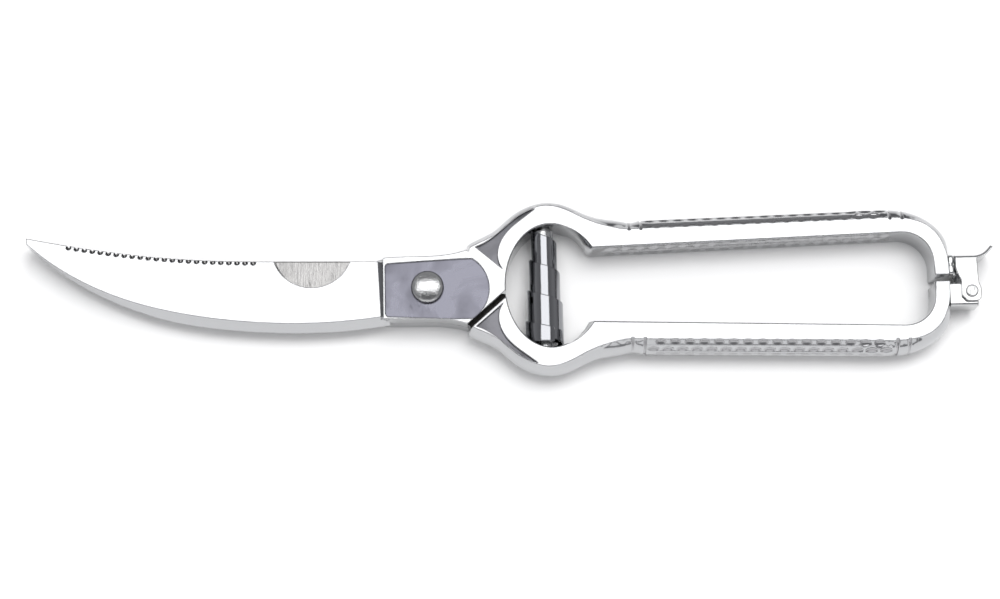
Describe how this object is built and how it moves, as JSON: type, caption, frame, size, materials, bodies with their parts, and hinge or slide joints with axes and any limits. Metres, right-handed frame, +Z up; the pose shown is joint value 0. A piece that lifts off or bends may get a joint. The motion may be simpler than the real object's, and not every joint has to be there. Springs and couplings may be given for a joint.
{
  "type": "poultry shears",
  "caption": "Spring-opened forged poultry shears with curved blades, a saw-toothed edge, a bone notch and a latch lever on the handle ends.",
  "frame": {"origin": "centre of the bounding box in plan, on the table under the closed shears lying flat", "axes": "+X from the blade tips towards the latch end of the handles, +Y towards the upper handle that swings, +Z up out of the flat faces, along the pivot"},
  "size_m": [0.2546, 0.0466, 0.013],
  "materials": {
    "plated_forging": "polished, nickel-chrome plated forged steel",
    "rivet_steel": "polished rivets, pegs and pin",
    "spring_steel": "bright rolled spring strip",
    "latch_steel": "plated stamped sheet"
  },
  "bodies": {
    "lower_half": {"lower_handle_half": "plated_forging", "pivot_rivet": "rivet_steel", "lower_spring_peg": "rivet_steel", "volute_spring": "spring_steel", "latch_bracket": "latch_steel", "bracket_rivet": "rivet_steel", "latch_pin": "rivet_steel"},
    "upper_half": {"upper_handle_half": "plated_forging", "upper_spring_peg": "rivet_steel", "latch_keeper": "latch_steel", "keeper_rivets": "rivet_steel"},
    "latch": {"latch_lever": "latch_steel"}
  },
  "joints": [
    {"name": "shears_open", "type": "hinge", "parent": "lower_half", "child": "upper_half", "pos_m": [-0.02138, 0, 0.0055], "axis": [0, 0, 1], "range_deg": [0, 30], "deforming": ["volute_spring"]},
    {"name": "latch_swing", "type": "hinge", "parent": "lower_half", "child": "latch", "pos_m": [0.12112, -0.0035, 0.0055], "axis": [0, 0, 1], "range_deg": [-110, 0]}
  ]
}
